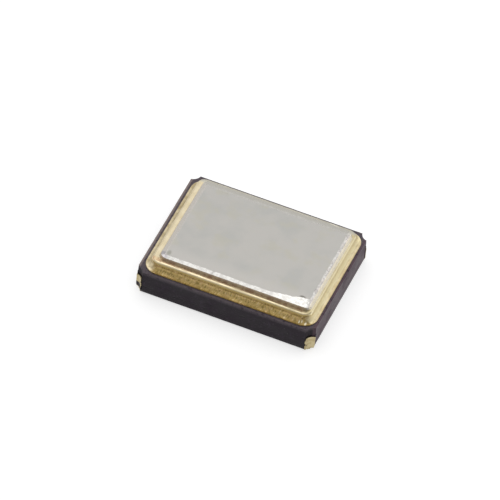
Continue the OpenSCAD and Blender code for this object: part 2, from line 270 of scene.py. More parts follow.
def ramp(finish, value, start, stop, low=0.0, high=1.0):
    """A value that goes smoothly from low to high as the given one goes from start to stop."""
    nodes, links = finish.node_tree.nodes, finish.node_tree.links
    node = nodes.new("ShaderNodeMapRange")
    node.interpolation_type = "SMOOTHSTEP"
    node.inputs["From Min"].default_value = start
    node.inputs["From Max"].default_value = stop
    node.inputs["To Min"].default_value = low
    node.inputs["To Max"].default_value = high
    links.new(value, node.inputs["Value"])
    return node.outputs["Result"]


def joined(finish, how, first, second):
    """Two values put together by one Math operation. The second may be a number."""
    nodes, links = finish.node_tree.nodes, finish.node_tree.links
    node = nodes.new("ShaderNodeMath")
    node.operation = how
    links.new(first, node.inputs[0])
    if isinstance(second, (int, float)):
        node.inputs[1].default_value = second
    else:
        links.new(second, node.inputs[1])
    return node.outputs["Value"]


def times(finish, first, second):
    """The product of two values. The second may be a number."""
    return joined(finish, "MULTIPLY", first, second)


def mixed(finish, share, first, second):
    """One colour over another by a share. Each is a socket or three numbers."""
    nodes, links = finish.node_tree.nodes, finish.node_tree.links
    node = nodes.new("ShaderNodeMix")
    node.data_type = "RGBA"
    sockets = [socket for socket in node.inputs if socket.type == "RGBA"]
    for socket, colour in zip(sockets, (first, second)):
        if isinstance(colour, tuple):
            socket.default_value = (*colour, 1)
        else:
            links.new(colour, socket)
    links.new(share, node.inputs["Factor"])
    return next(socket for socket in node.outputs if socket.type == "RGBA")


def set_look(finish, colour=None, roughness=None, heights=()):
    """Links colour and roughness to the shader, and stacks bumps: (height, depth in mm)."""
    nodes, links = finish.node_tree.nodes, finish.node_tree.links
    shader = nodes["Principled BSDF"]
    if colour is not None:
        links.new(colour, shader.inputs["Base Color"])
    if roughness is not None:
        links.new(roughness, shader.inputs["Roughness"])
    below = None
    for height, depth in heights:
        bump = nodes.new("ShaderNodeBump")
        bump.inputs["Strength"].default_value = 1.0
        bump.inputs["Distance"].default_value = depth * MM
        links.new(height, bump.inputs["Height"])
        if below is not None:
            links.new(below, bump.inputs["Normal"])
        below = bump.outputs["Normal"]
    if below is not None:
        links.new(below, shader.inputs["Normal"])


NOISE_SPAN = (0.3, 0.7)
EVEN_SPLIT = (0.35, 0.65)
ALUMINA_TONES = ((0.012, 0.007, 0.012), (0.020, 0.012, 0.020))
SCORED_HIGHLIGHT_TONE, SCORED_HIGHLIGHT_Z = (0.094, 0.075, 0.088), (0.40, 0.47)
RIGHT_END_LIGHT_TONE = (0.107, 0.064, 0.083)
RIGHT_END_LIGHT_X = (BODY_HALF_L - 0.075, BODY_HALF_L - 0.04)
MOTTLE_TONE = (0.030, 0.018, 0.032)
LEFT_TOP_HIGHLIGHT_TONE = (0.25, 0.20, 0.19)
LEFT_TOP_HIGHLIGHT_Z = (BODY_TOP - 0.02, BODY_TOP - 0.01)
LEFT_TOP_HIGHLIGHT_X = (0.06 - BODY_HALF_L, 0.03 - BODY_HALF_L)
LIGHT_GRAIN, DARK_GRAIN = (0.085, 0.075, 0.088), (0.008, 0.006, 0.010)
LAYER_GAP_TONE, LAYER_GAP_REACH = (0.006, 0.005, 0.007), (0.012, 0.003)

alumina = finish_of("dark_alumina", (0.022, 0.017, 0.024), 0, 0.55, specular=0.25)
cloud = specks(alumina, 0.3, detail=4)
grain = specks(alumina, 0.03, detail=5)
height = along(alumina, "Z")
length = along(alumina, "X")
# Painted highlight: the top face and the upper band of the sides, where the scored shoulder is,
# are painted lighter than the rest.
scored = ramp(alumina, height, *SCORED_HIGHLIGHT_Z)
# Painted light: the right end, its side and the edge of the top beside it, is painted lighter
# where the light from the right falls on it.
right_end_light = ramp(alumina, length, *RIGHT_END_LIGHT_X)
base = mixed(alumina, ramp(alumina, cloud, *EVEN_SPLIT), *ALUMINA_TONES)
base = mixed(alumina, scored, base, SCORED_HIGHLIGHT_TONE)
base = mixed(alumina, times(alumina, right_end_light, 0.85), base, RIGHT_END_LIGHT_TONE)
mottle = specks(alumina, 0.07, detail=3)
base = mixed(alumina, ramp(alumina, mottle, 0.54, 0.68, 0, 0.75), base, MOTTLE_TONE)
# Painted highlight: a light line along the top edge of the left end.
left_top_highlight = times(
    alumina,
    ramp(alumina, height, *LEFT_TOP_HIGHLIGHT_Z),
    ramp(alumina, length, *LEFT_TOP_HIGHLIGHT_X),
)
base = mixed(alumina, left_top_highlight, base, LEFT_TOP_HIGHLIGHT_TONE)
base = mixed(alumina, ramp(alumina, grain, 0.60, 0.75, 0, 0.5), base, LIGHT_GRAIN)
base = mixed(alumina, ramp(alumina, grain, 0.42, 0.30, 0, 0.6), base, DARK_GRAIN)
seam = specks(alumina, 0.12, detail=2)
line = None
for level in LAYER_LINES:
    gap = joined(alumina, "ABSOLUTE", joined(alumina, "SUBTRACT", height, level), 0)
    near = ramp(alumina, gap, *LAYER_GAP_REACH)
    line = near if line is None else joined(alumina, "MAXIMUM", line, near)
line = times(alumina, line, ramp(alumina, seam, 0.46, 0.62))
base = mixed(alumina, times(alumina, line, 0.8), base, LAYER_GAP_TONE)
groove = joined(alumina, "SUBTRACT", grain, line)
set_look(
    alumina,
    colour=base,
    roughness=ramp(alumina, cloud, *NOISE_SPAN, 0.46, 0.62),
    heights=[(cloud, 0.006), (groove, 0.003)],
)
ceramic.data.materials.append(alumina)
put_in_place(ceramic, "ceramic_body", crease=32)


# The four terminals.
# Nickel and gold plated on printed tungsten: a soldering pad under each corner, and the
# lining of the corner's notch to the top of the second layer. The plating is uneven.
TERMINALS = ("enable_terminal", "ground_terminal", "output_terminal", "supply_terminal")
NOTCH_TONES = ((0.56, 0.48, 0.29), (0.40, 0.32, 0.16))
BARE_TONE = (0.012, 0.008, 0.012)
RAGGED_X, NOTCH_X = (1.527, 1.520), (1.40, 1.41)
LOW_Z, ENABLE_X = (0.095, 0.085), (-1.40, -1.41)
FRONT_NOTCH_Y, ABOVE_PAD_Z = (-1.0, -1.01), (0.025, 0.035)

notch_gold = finish_of("notch_gold", (0.60, 0.53, 0.34), 1, 0.36)
patch = specks(notch_gold, 0.08, detail=4)
fine = specks(notch_gold, 0.015, detail=3)
tone = mixed(notch_gold, ramp(notch_gold, patch, 0.35, 0.68), *NOTCH_TONES)
jagged = specks(notch_gold, 0.045, detail=2)
sideways = joined(notch_gold, "ABSOLUTE", along(notch_gold, "X"), 0)
reach = joined(notch_gold, "ADD", sideways, times(notch_gold, jagged, 0.10))
flash = times(
    notch_gold,
    ramp(notch_gold, reach, *RAGGED_X),
    ramp(notch_gold, sideways, *NOTCH_X),
)
low = joined(notch_gold, "SUBTRACT", along(notch_gold, "Z"), times(notch_gold, jagged, 0.06))
low = times(
    notch_gold,
    ramp(notch_gold, low, *LOW_Z),
    ramp(notch_gold, along(notch_gold, "X"), *ENABLE_X),
)
flash = joined(notch_gold, "MAXIMUM", flash, low)
flash = times(notch_gold, flash, ramp(notch_gold, along(notch_gold, "Y"), *FRONT_NOTCH_Y))
flash = times(notch_gold, flash, ramp(notch_gold, along(notch_gold, "Z"), *ABOVE_PAD_Z))
tone = mixed(notch_gold, flash, tone, BARE_TONE)
set_look(
    notch_gold,
    colour=tone,
    roughness=ramp(notch_gold, fine, *NOISE_SPAN, 0.30, 0.48),
    heights=[(patch, 0.004), (fine, 0.001)],
)
for name in TERMINALS:
    terminal = frame["nodes"][name]
    terminal.data.materials.clear()
    terminal.data.materials.append(notch_gold)


# Seal metallisation.
# A band of tungsten printed on the top of the frame and plated, which the braze wets.
CREAM_TONES = ((0.80, 0.70, 0.49), (0.71, 0.61, 0.41))
YELLOW_TONES = ((0.68, 0.59, 0.37), (0.59, 0.50, 0.30))
GOLD_SPLIT = (0.35, 0.66)
CREAM_TO_YELLOW_X = (-1.2, 1.4)
BACK_RIM_TONE, BACK_RIM_Y = (0.52, 0.50, 0.43), (0.94, 1.00)
RUBBED_TONE = (0.80, 0.74, 0.56)
RIGHT_WALL_LIGHT_TONE, RIGHT_WALL_LIGHT_X = (0.90, 0.80, 0.54), (1.425, 1.44)
SHADED_IN_Y, SHADED_OUT_Y, SHADED_X = (-0.95, -0.98), (-1.055, -1.035), (1.36, 1.26)
SHADED_STRIP_TONES = ((0.80, 0.62, 0.38), (0.56, 0.34, 0.20))
FRONT_WALL_SHADE_TONE, FRONT_WALL_SHADE_Z, FRONT_WALL_SHADE_Y = (0.37, 0.27, 0.10), (0.648, 0.630), (-1.03, -1.06)
RIM_HIGHLIGHT_TONE, RIM_HIGHLIGHT_Z, RIM_HIGHLIGHT_Y = (0.86, 0.73, 0.48), (0.636, 0.650), (-1.045, -1.062)

gold = finish_of("gold_plate", (0.61, 0.55, 0.31), 1, 0.36)
patch = specks(gold, 0.22, detail=4)
fine = specks(gold, 0.02, detail=3)
rubbed = specks(gold, 0.05, detail=2, stretch=(0.2, 1, 1), turn=(0, 0, 24))
cream = mixed(gold, ramp(gold, patch, *GOLD_SPLIT), *CREAM_TONES)
yellow = mixed(gold, ramp(gold, patch, *GOLD_SPLIT), *YELLOW_TONES)
tone = mixed(gold, ramp(gold, along(gold, "X"), *CREAM_TO_YELLOW_X), cream, yellow)
back_rim = ramp(gold, along(gold, "Y"), *BACK_RIM_Y, 0, 0.9)
tone = mixed(gold, back_rim, tone, BACK_RIM_TONE)
tone = mixed(gold, ramp(gold, rubbed, 0.60, 0.72, 0, 0.45), tone, RUBBED_TONE)
# Painted light: the ring's right rim and wall are painted paler where the light from the right
# falls on them.
right_wall_light = ramp(gold, along(gold, "X"), *RIGHT_WALL_LIGHT_X)
tone = mixed(gold, right_wall_light, tone, RIGHT_WALL_LIGHT_TONE)
# Painted shade and reflection: the ring's top in front of the lid is painted a dark orange-brown,
# for the lid's shade on it and the lid's wall that it mirrors.
shaded = times(
    gold,
    ramp(gold, along(gold, "Y"), *SHADED_IN_Y),
    ramp(gold, along(gold, "Y"), *SHADED_OUT_Y),
)
shaded = times(gold, shaded, ramp(gold, along(gold, "X"), *SHADED_X))
blotch = specks(gold, 0.07, detail=4)
shaded_strip_tone = mixed(gold, ramp(gold, blotch, 0.40, 0.60), *SHADED_STRIP_TONES)
tone = mixed(gold, times(gold, shaded, 0.85), tone, shaded_strip_tone)
# Painted shade: the ring's front wall below the rim is painted a darker ochre, for the shaded
# floor in front that it mirrors.
front_wall_shade = times(
    gold,
    ramp(gold, along(gold, "Z"), *FRONT_WALL_SHADE_Z),
    ramp(gold, along(gold, "Y"), *FRONT_WALL_SHADE_Y),
)
tone = mixed(gold, front_wall_shade, tone, FRONT_WALL_SHADE_TONE)
# Painted highlight: a bright line along the ring's front rim.
rim_highlight = times(
    gold,
    ramp(gold, along(gold, "Z"), *RIM_HIGHLIGHT_Z),
    ramp(gold, along(gold, "Y"), *RIM_HIGHLIGHT_Y),
)
tone = mixed(gold, times(gold, rim_highlight, 0.8), tone, RIM_HIGHLIGHT_TONE)
set_look(
    gold,
    colour=tone,
    roughness=ramp(gold, patch, *NOISE_SPAN, 0.30, 0.42),
    heights=[(patch, 0.002), (fine, 0.0008)],
)
metallisation = frame["nodes"]["seal_metallisation"]
metallisation.data.materials.clear()
metallisation.data.materials.append(gold)


# Braze fillet.
# Silver-copper braze that ran under the ring in the furnace and drew up round its wall in a
# hollow curve. Gold plate over it shows the braze's own uneven, streaked surface.
SEAL_HALF_L, SEAL_HALF_W = 1.53, 1.18
SEAL_SHIFT = (0.015, -0.01)
BRAZE_BOTTOM, BRAZE_FOOT, BRAZE_TOP = 0.49, 0.51, 0.61
FILLET_W, FILLET_EDGE, RING_R = 0.1, 0.008, 0.15
HOLLOW_R = FILLET_W - FILLET_EDGE
HOLLOW_STEPS = 8
WINDOW_HALF_L, WINDOW_HALF_W, WINDOW_R = 1.225, 0.875, 0.12
METAL_SLICE = 0.03
TOE_SHARE, FILLET_FADE = 0.4, 0.01
MARGIN = 0.002
FACING_UP, NEARLY_FLAT = 0.99, 0.999


def add_plate(name, half_l, half_w, corner, bottom, top, segments=12):
    """A plate with round corners, in edit mode, from a cube whose upright edges are bevelled."""
    bpy.ops.object.select_all(action="DESELECT")
    bpy.ops.mesh.primitive_cube_add(
        size=1,
        location=(0, 0, (bottom + top) / 2),
        scale=(2 * half_l, 2 * half_w, top - bottom),
    )
    plate = bpy.context.object
    plate.name = name
    bpy.ops.object.transform_apply(location=True, rotation=True, scale=True)
    bpy.ops.object.mode_set(mode="EDIT")
    pick(plate, "EDGE", lambda edge: edge.verts[0].co.xy == edge.verts[1].co.xy)
    bpy.ops.mesh.bevel(offset=corner, segments=segments, affect="EDGES")
    return plate


def cut_window(piece, half_l, half_w, corner, off_centre=0):
    """Cuts a round-cornered window right through a piece that is in object mode."""
    cutter = add_plate("window_cutter", half_l, half_w, corner, bottom=0, top=1)
    bpy.ops.object.mode_set(mode="OBJECT")
    cutter.location.x = off_centre
    opening = piece.modifiers.new("window", "BOOLEAN")
    opening.object = cutter
    opening.operation = "DIFFERENCE"
    opening.solver = "EXACT"
    work_on(piece)
    bpy.ops.object.modifier_apply(modifier=opening.name)
    bpy.data.objects.remove(cutter)


def is_facing_up(face):
    return face.normal.z > FACING_UP


def slice_all_round(piece, half_l, half_w, test):
    """Cuts a frame across its four sides, so that its surface can be uneven."""
    slice_faces(piece, 0, -half_l, half_l, METAL_SLICE, test)
    slice_faces(piece, 1, -half_w, half_w, METAL_SLICE, test)


braze = add_plate(
    "braze_bead", SEAL_HALF_L, SEAL_HALF_W, RING_R + FILLET_W,
    bottom=BRAZE_BOTTOM, top=BRAZE_BOTTOM + FILLET_EDGE,
)
pick(braze, "FACE", is_facing_up)
reached = [0.0, 0.0]
for i in range(1, HOLLOW_STEPS + 1):
    angle = math.pi / 2 * i / HOLLOW_STEPS
    inward, rise = HOLLOW_R * math.sin(angle), HOLLOW_R * (1 - math.cos(angle))
    bpy.ops.mesh.inset(thickness=inward - reached[0], depth=0)
    bpy.ops.transform.translate(value=(0, 0, rise - reached[1]))
    reached = [inward, rise]
bpy.ops.mesh.extrude_region_move(
    TRANSFORM_OT_translate={"value": (0, 0, BRAZE_TOP - BRAZE_BOTTOM - FILLET_EDGE - HOLLOW_R)}
)
bpy.ops.mesh.inset(thickness=FILLET_EDGE, depth=0)
bpy.ops.mesh.extrude_region_move(TRANSFORM_OT_translate={"value": (0, 0, BRAZE_FOOT - BRAZE_TOP)})
bpy.ops.object.mode_set(mode="OBJECT")
cut_window(braze, WINDOW_HALF_L, WINDOW_HALF_W, WINDOW_R, off_centre=-SEAL_SHIFT[0])
bpy.ops.object.mode_set(mode="EDIT")


def is_outside_ring(face):
    centre = face.calc_center_median()
    reach_l, reach_w = SEAL_HALF_L - FILLET_W, SEAL_HALF_W - FILLET_W
    beyond = abs(centre.x) > reach_l or abs(centre.y) > reach_w
    return beyond and abs(face.normal.z) < NEARLY_FLAT


slice_all_round(braze, SEAL_HALF_L, SEAL_HALF_W, is_outside_ring)
bpy.ops.object.mode_set(mode="OBJECT")


def on_fillet(place):
    """The open fillet: in part at its toe, and nothing underneath or where it meets the ring."""
    if place.z <= BRAZE_BOTTOM + HAIR:
        return 0
    beyond = max(abs(place.x) - SEAL_HALF_L + FILLET_W, abs(place.y) - SEAL_HALF_W + FILLET_W)
    if place.z <= BRAZE_BOTTOM + FILLET_EDGE + HAIR:
        return TOE_SHARE
    return 0 if beyond < MARGIN else min(1, beyond / FILLET_FADE)


drawn = group_of(braze, "drawn", on_fillet)
roughen(braze, drawn, lump=0.16, depth=0.007)
roughen(braze, drawn, lump=0.04, depth=0.003)


def spot(finish, at, reach, stretch=(1, 1, 1)):
    """1 at a point of the piece, in millimetres, falling to 0 at this reach from it."""
    nodes, links = finish.node_tree.nodes, finish.node_tree.links
    away = nodes.new("ShaderNodeVectorMath")
    away.operation = "DISTANCE"
    away.inputs[1].default_value = [place * share for place, share in zip(at, stretch)]
    links.new(place_in(finish, stretch), away.inputs[0])
    return ramp(finish, away.outputs["Value"], reach, reach / 3)


KEEN_SPLIT = (0.36, 0.64)
FRONT_Y = (-SEAL_HALF_W + FILLET_W + 0.02, -SEAL_HALF_W + FILLET_W - 0.02)
OLIVE_TONES = ((0.66, 0.57, 0.38), (0.50, 0.41, 0.24))
RIGHT_LIT_TONES = ((0.76, 0.66, 0.43), (0.67, 0.56, 0.34))
RIGHT_HIGHLIGHT_TONE, RIGHT_HIGHLIGHT_X = (0.90, 0.80, 0.52), (1.50, 1.48)
RIGHT_LIT_X = (SEAL_HALF_L - 0.14, SEAL_HALF_L - 0.06)
FRONT_SHADE_TONES = ((0.50, 0.36, 0.14), (0.38, 0.27, 0.085))
ROSE_TONE = (0.52, 0.33, 0.18)
HOLLOW_HIGHLIGHT_TONE, HOLLOW_OUT_Y, HOLLOW_IN_Y = (0.72, 0.54, 0.23), (-1.155, -1.135), (-1.085, -1.10)
TOE_SHADE_TONE, TOE_SHADE_Z = (0.36, 0.26, 0.10), (0.516, 0.502)
WORN_TONE, DARK_LINE_TONE = (0.19, 0.14, 0.04), (0.22, 0.16, 0.05)
GLINT_TONE = (0.74, 0.62, 0.40)
SHEEN_TONE, SHEEN_AT, SHEEN_REACH = (0.95, 0.84, 0.60), (-1.45, -1.13, 0.53), 0.16
SCRATCH_GLINT_TONE = (0.98, 0.92, 0.72)
SCRATCH_GLINTS = (
    ((1.29, -1.135, 0.52), 0.035),
    ((1.33, -1.12, 0.53), 0.03),
    ((1.40, -1.13, 0.52), 0.05),
)

gilt = finish_of("gilt_braze", (0.58, 0.50, 0.28), 1, 0.42)
patch = specks(gilt, 0.14, detail=5)
fine = specks(gilt, 0.018, detail=3)
hatch = specks(gilt, 0.021, detail=3, stretch=(1, 0.3, 0.3), turn=(0, -13, 13))
back_hatch = specks(gilt, 0.022, detail=3, stretch=(1, 0.3, 0.3), turn=(0, 16, -16))
broken = specks(gilt, 0.06, detail=2)
front = ramp(gilt, along(gilt, "Y"), *FRONT_Y)
olive = mixed(gilt, ramp(gilt, patch, *KEEN_SPLIT), *OLIVE_TONES)
# Painted light: the right end of the fillet is painted paler than the olive of the other sides,
# and paler still up by the ring, where the light from the right falls on it.
right_lit = mixed(gilt, ramp(gilt, patch, *KEEN_SPLIT), *RIGHT_LIT_TONES)
right_lit = mixed(gilt, ramp(gilt, along(gilt, "X"), *RIGHT_HIGHLIGHT_X), right_lit, RIGHT_HIGHLIGHT_TONE)
tone = mixed(gilt, ramp(gilt, along(gilt, "X"), *RIGHT_LIT_X), olive, right_lit)
# Painted shade: the front of the fillet is painted a darker ochre than its other sides, for the
# shaded floor that it mirrors.
front_shade_tone = mixed(gilt, ramp(gilt, patch, *KEEN_SPLIT), *FRONT_SHADE_TONES)
rose = specks(gilt, 0.09, detail=2)
front_shade_tone = mixed(gilt, ramp(gilt, rose, 0.52, 0.66, 0, 0.7), front_shade_tone, ROSE_TONE)
# Painted highlight: a lighter ochre band across the middle of the front fillet's hollow.
hollow = times(
    gilt,
    ramp(gilt, along(gilt, "Y"), *HOLLOW_OUT_Y),
    ramp(gilt, along(gilt, "Y"), *HOLLOW_IN_Y),
)
front_shade_tone = mixed(gilt, times(gilt, hollow, 0.55), front_shade_tone, HOLLOW_HIGHLIGHT_TONE)
# Painted shade: the front fillet is painted darker at its toe, along the ceramic.
toe = ramp(gilt, along(gilt, "Z"), *TOE_SHADE_Z, 0, 0.6)
front_shade_tone = mixed(gilt, toe, front_shade_tone, TOE_SHADE_TONE)
tone = mixed(gilt, front, tone, front_shade_tone)
worn = times(gilt, ramp(gilt, hatch, 0.52, 0.62), ramp(gilt, broken, 0.44, 0.54))
worn = times(gilt, worn, times(gilt, front, 0.6))
tone = mixed(gilt, worn, tone, WORN_TONE)
dark_line = times(gilt, ramp(gilt, back_hatch, 0.46, 0.38), front)
tone = mixed(gilt, times(gilt, dark_line, 0.6), tone, DARK_LINE_TONE)
glint = times(gilt, ramp(gilt, back_hatch, 0.56, 0.66), ramp(gilt, broken, 0.56, 0.46))
tone = mixed(gilt, times(gilt, glint, 0.6), tone, GLINT_TONE)
corner_sheen = spot(gilt, SHEEN_AT, SHEEN_REACH, stretch=(1, 1, 0.5))
tone = mixed(gilt, times(gilt, corner_sheen, 0.75), tone, SHEEN_TONE)
# Partly painted highlight: small scratches at the front right corner, painted as near-white
# glints.
for place, reach in SCRATCH_GLINTS:
    scratch_glint = spot(gilt, place, reach, stretch=(2.2, 1, 0.6))
    tone = mixed(gilt, times(gilt, scratch_glint, 0.8), tone, SCRATCH_GLINT_TONE)
set_look(
    gilt,
    colour=tone,
    roughness=ramp(gilt, patch, *NOISE_SPAN, 0.42, 0.58),
    heights=[(hatch, 0.004), (back_hatch, 0.004), (fine, 0.0015)],
)
braze.data.materials.append(gilt)
put_in_place(braze, "braze_fillet", crease=40, shift=SEAL_SHIFT)


# Seal ring.
# A frame stamped from iron-nickel-cobalt alloy, tumbled to round its edges, brazed to the
# ceramic and gold plated. The lid is welded to it.
RING_HALF_L, RING_HALF_W = 1.43, 1.08
RING_BOTTOM, RING_TOP = 0.51, 0.66
RING_EDGE_R = 0.03
RING_SETBACK = 0.02
RING_SLOPE_W, RING_SLOPE_DROP = 0.05, 0.008
FACING_DOWN = -0.5
LARGE_FACE = 1

ring = add_plate("stamped_ring", RING_HALF_L, RING_HALF_W, RING_R, RING_BOTTOM, RING_TOP)
pick(
    ring, "EDGE",
    lambda edge: all(vertex.co.z > RING_TOP - HAIR for vertex in edge.verts),
)
bpy.ops.mesh.bevel(offset=RING_EDGE_R, segments=6, affect="EDGES")
pick(ring, "FACE", lambda face: is_facing_up(face) and face.calc_area() > LARGE_FACE)
bpy.ops.mesh.inset(thickness=RING_SLOPE_W, depth=0)
bpy.ops.transform.translate(value=(0, 0, -RING_SLOPE_DROP))
bpy.ops.object.mode_set(mode="OBJECT")
cut_window(
    ring, WINDOW_HALF_L + RING_SETBACK, WINDOW_HALF_W + RING_SETBACK, WINDOW_R + RING_SETBACK
)
bpy.ops.object.mode_set(mode="EDIT")


def is_ring_outside(face):
    centre = face.calc_center_median()
    reach_l, reach_w = RING_HALF_L - RING_EDGE_R, RING_HALF_W - RING_EDGE_R
    beyond = abs(centre.x) > reach_l or abs(centre.y) > reach_w
    return beyond and face.normal.z > FACING_DOWN


slice_all_round(ring, RING_HALF_L, RING_HALF_W, is_ring_outside)
bpy.ops.object.mode_set(mode="OBJECT")


def on_ring_edge(place):
    """The rounded rim of the ring, and none of its flat top or foot."""
    beyond = max(abs(place.x) - RING_HALF_L, abs(place.y) - RING_HALF_W) + RING_EDGE_R
    if place.z < RING_TOP - RING_EDGE_R or beyond <= MARGIN:
        return 0
    return 1


rim = group_of(ring, "rim", on_ring_edge)
roughen(ring, rim, lump=0.12, depth=0.004)
ring.data.materials.append(gold)
put_in_place(ring, "seal_ring", crease=40, shift=SEAL_SHIFT)


# Lid.
# A nickel-plated plate of the same alloy. A pair of welding rollers ran along two edges and
# then along the other two, and pressed a bright, uneven track into each. The tracks are
# deepest at the right end and shallowest at the back.
LID_HALF_L, LID_HALF_W, LID_R = 1.34, 0.97, 0.1
LID_SHIFT = (0.05, -0.015)
LID_BOTTOM, LID_TOP = 0.66 - RING_SLOPE_DROP, 0.74
TRACK_W, TRACK_DROP = 0.1, 0.035
SIDE_TRACK_W = 0.065
FRONT_TRACK_W = 0.058
FLARE_START_X, FLARE_W, FLARE_FADE = 0.35, 0.13, 0.8
PRESSED_LESS = (
    ("back_outline", 1, 1, 0.024),
    ("front_outline", 1, -1, 0.009),
    ("left_outline", 0, -1, 0.018),
)
BEAD_W = 0.03
LID_SLICE = 0.02
LID_MERGE_WITHIN = 0.003
LEAST_LEAN = 0.1
TRACK_TILT, TRULY_FLAT = 0.3, 0.9999

lid = add_plate("welded_lid", LID_HALF_L, LID_HALF_W, LID_R, LID_BOTTOM, LID_TOP, segments=10)
pick(lid, "FACE", is_facing_up)
bpy.ops.mesh.inset(thickness=TRACK_W, depth=0)
bpy.ops.mesh.remove_doubles(threshold=LID_MERGE_WITHIN)


def is_top_outline(vertex):
    place = vertex.co
    inner_l, inner_w = LID_HALF_L - TRACK_W + HAIR, LID_HALF_W - TRACK_W + HAIR
    inner = abs(place.x) < inner_l and abs(place.y) < inner_w
    return place.z > LID_TOP - HAIR and not inner


pick(lid, "VERT", is_top_outline)
bpy.ops.transform.translate(value=(0, 0, -TRACK_DROP))


def is_along_length(face):
    """The track and the wall of the front and back edges."""
    lean = abs(face.normal.y)
    return face.normal.z > FACING_DOWN and lean > max(LEAST_LEAN, abs(face.normal.x))


def is_along_width(face):
    """The track and the wall of the two end edges."""
    lean = abs(face.normal.x)
    return face.normal.z > FACING_DOWN and lean > max(LEAST_LEAN, abs(face.normal.y))


reach_l, reach_w = LID_HALF_L - LID_SLICE / 2, LID_HALF_W - LID_SLICE / 2
slice_faces(lid, 0, -reach_l, reach_l, LID_SLICE, is_along_length)
slice_faces(lid, 1, -reach_w, reach_w, LID_SLICE, is_along_width)
bpy.ops.object.mode_set(mode="OBJECT")


def on_track_edge(place):
    """The inner edge of the rolled track, where it leaves the lid's flat top."""
    return 1 if place.z > LID_TOP - HAIR else 0


def on_flare(place):
    """The front track's inner edge, from 0 where it starts to widen to 1 at the right end.

    Along the right end's own track it fades to 0 by the lid's middle, and ends in no fold.
    """
    if place.z < LID_TOP - HAIR or place.y > 0:
        return 0
    full = LID_HALF_L - TRACK_W - FLARE_START_X
    widened = max(0, place.x - FLARE_START_X) ** 2 / full ** 2
    return min(1, widened) * min(1, -place.y / FLARE_FADE)


def shift_edge(piece, group, direction, distance):
    """Moves a group of vertices along one axis, each by its weight's share of the distance."""
    shift = piece.modifiers.new("shift", "DISPLACE")
    shift.vertex_group = group
    shift.direction = direction
    shift.mid_level = 0
    shift.strength = distance
    work_on(piece)
    bpy.ops.object.modifier_apply(modifier=shift.name)


def past(edge, limit):
    """Weight 1 for the inner edge of the track on one side of the lid, from a limit outwards."""
    return lambda place: 1 if place.z > LID_TOP - HAIR and edge(place) > limit - HAIR else 0


def on_outline(axis, side):
    """Weight for the lid's outer edge on one side, from nothing where its corners begin."""
    half = (LID_HALF_L, LID_HALF_W)[axis]

    def weight(place):
        if place.z > LID_TOP - HAIR or place.z < LID_TOP - TRACK_DROP - HAIR:
            return 0
        return min(1, max(0, (side * place[axis] - half + LID_R) / LID_R))
    return weight


def on_end_foot(side):
    """Weight for the bottom outline of one end of the lid, where the weld metal ran out."""
    def weight(place):
        if place.z > LID_BOTTOM + HAIR:
            return 0
        return min(1, max(0, (side * place.x - LID_HALF_L + LID_R) / LID_R))
    return weight


right_edge = group_of(lid, "right_edge", past(lambda place: place.x, LID_HALF_L - TRACK_W))
shift_edge(lid, right_edge, "X", TRACK_W - SIDE_TRACK_W)
left_edge = group_of(lid, "left_edge", past(lambda place: -place.x, LID_HALF_L - TRACK_W))
shift_edge(lid, left_edge, "X", SIDE_TRACK_W - TRACK_W)
for name, axis, side, rise in PRESSED_LESS:
    outline = group_of(lid, name, on_outline(axis, side))
    shift_edge(lid, outline, "Z", rise)
for side, name in ((1, "right_foot"), (-1, "left_foot")):
    foot = group_of(lid, name, on_end_foot(side))
    shift_edge(lid, foot, "X", side * BEAD_W)
front_edge = group_of(lid, "front_edge", past(lambda place: -place.y, LID_HALF_W - TRACK_W))
shift_edge(lid, front_edge, "Y", FRONT_TRACK_W - TRACK_W)
flare = group_of(lid, "flare", on_flare)
shift_edge(lid, flare, "Y", FLARE_W)
track_edge = group_of(lid, "track_edge", on_track_edge)
roughen(lid, track_edge, lump=0.11, depth=0.03, direction="X", middle=0.5)
roughen(lid, track_edge, lump=0.12, depth=0.035, direction="Y", middle=0.5)
roughen(lid, track_edge, lump=0.04, depth=0.02, direction="Y", middle=0.5)


LID_RIGHT, LID_LEFT = LID_SHIFT[0] + LID_HALF_L, LID_SHIFT[0] - LID_HALF_L
LID_BACK, LID_FRONT = LID_SHIFT[1] + LID_HALF_W, LID_SHIFT[1] - LID_HALF_W
TRACK_START_X = -1.165
WELD_BAND_X = (LID_RIGHT + 0.015, LID_RIGHT + 0.055)
SPECK_TONES = ((0.45, 0.42, 0.40), (0.72, 0.66, 0.62))
GILDED_TONE, GILDED_X = (0.68, 0.62, 0.50), (LID_RIGHT - 0.03, LID_RIGHT - 0.01)
LEFT_TONE, LEFT_X = (0.58, 0.54, 0.49), (LID_LEFT + 0.11, LID_LEFT + 0.03)
BACK_TONE, BACK_Y = (0.50, 0.48, 0.43), (LID_BACK - 0.13, LID_BACK - 0.04)


def weld_marks(finish):
    """Where the rollers sparked along the right edge: a ragged band of bright specks."""
    ragged = specks(finish, 0.07, detail=4)
    reach = joined(finish, "ADD", along(finish, "X"), times(finish, ragged, 0.16))
    return ramp(finish, reach, *WELD_BAND_X)


def add_weld_look(finish, tone):
    """Lays the specks of the right edge, and the tints of the other edges, over a tone."""
    band = weld_marks(finish)
    spark = specks(finish, 0.035, detail=3, stretch=(1, 0.4, 1), turn=(0, 0, 12))
    speck = mixed(finish, ramp(finish, spark, 0.48, 0.62), *SPECK_TONES)
    tone = mixed(finish, times(finish, band, 0.85), tone, speck)
    gilded = ramp(finish, along(finish, "X"), *GILDED_X)
    tone = mixed(finish, gilded, tone, GILDED_TONE)
    left = ramp(finish, along(finish, "X"), *LEFT_X, 0, 0.9)
    tone = mixed(finish, left, tone, LEFT_TONE)
    back = ramp(finish, along(finish, "Y"), *BACK_Y, 0, 0.8)
    tone = mixed(finish, back, tone, BACK_TONE)
    return tone, times(finish, band, spark)


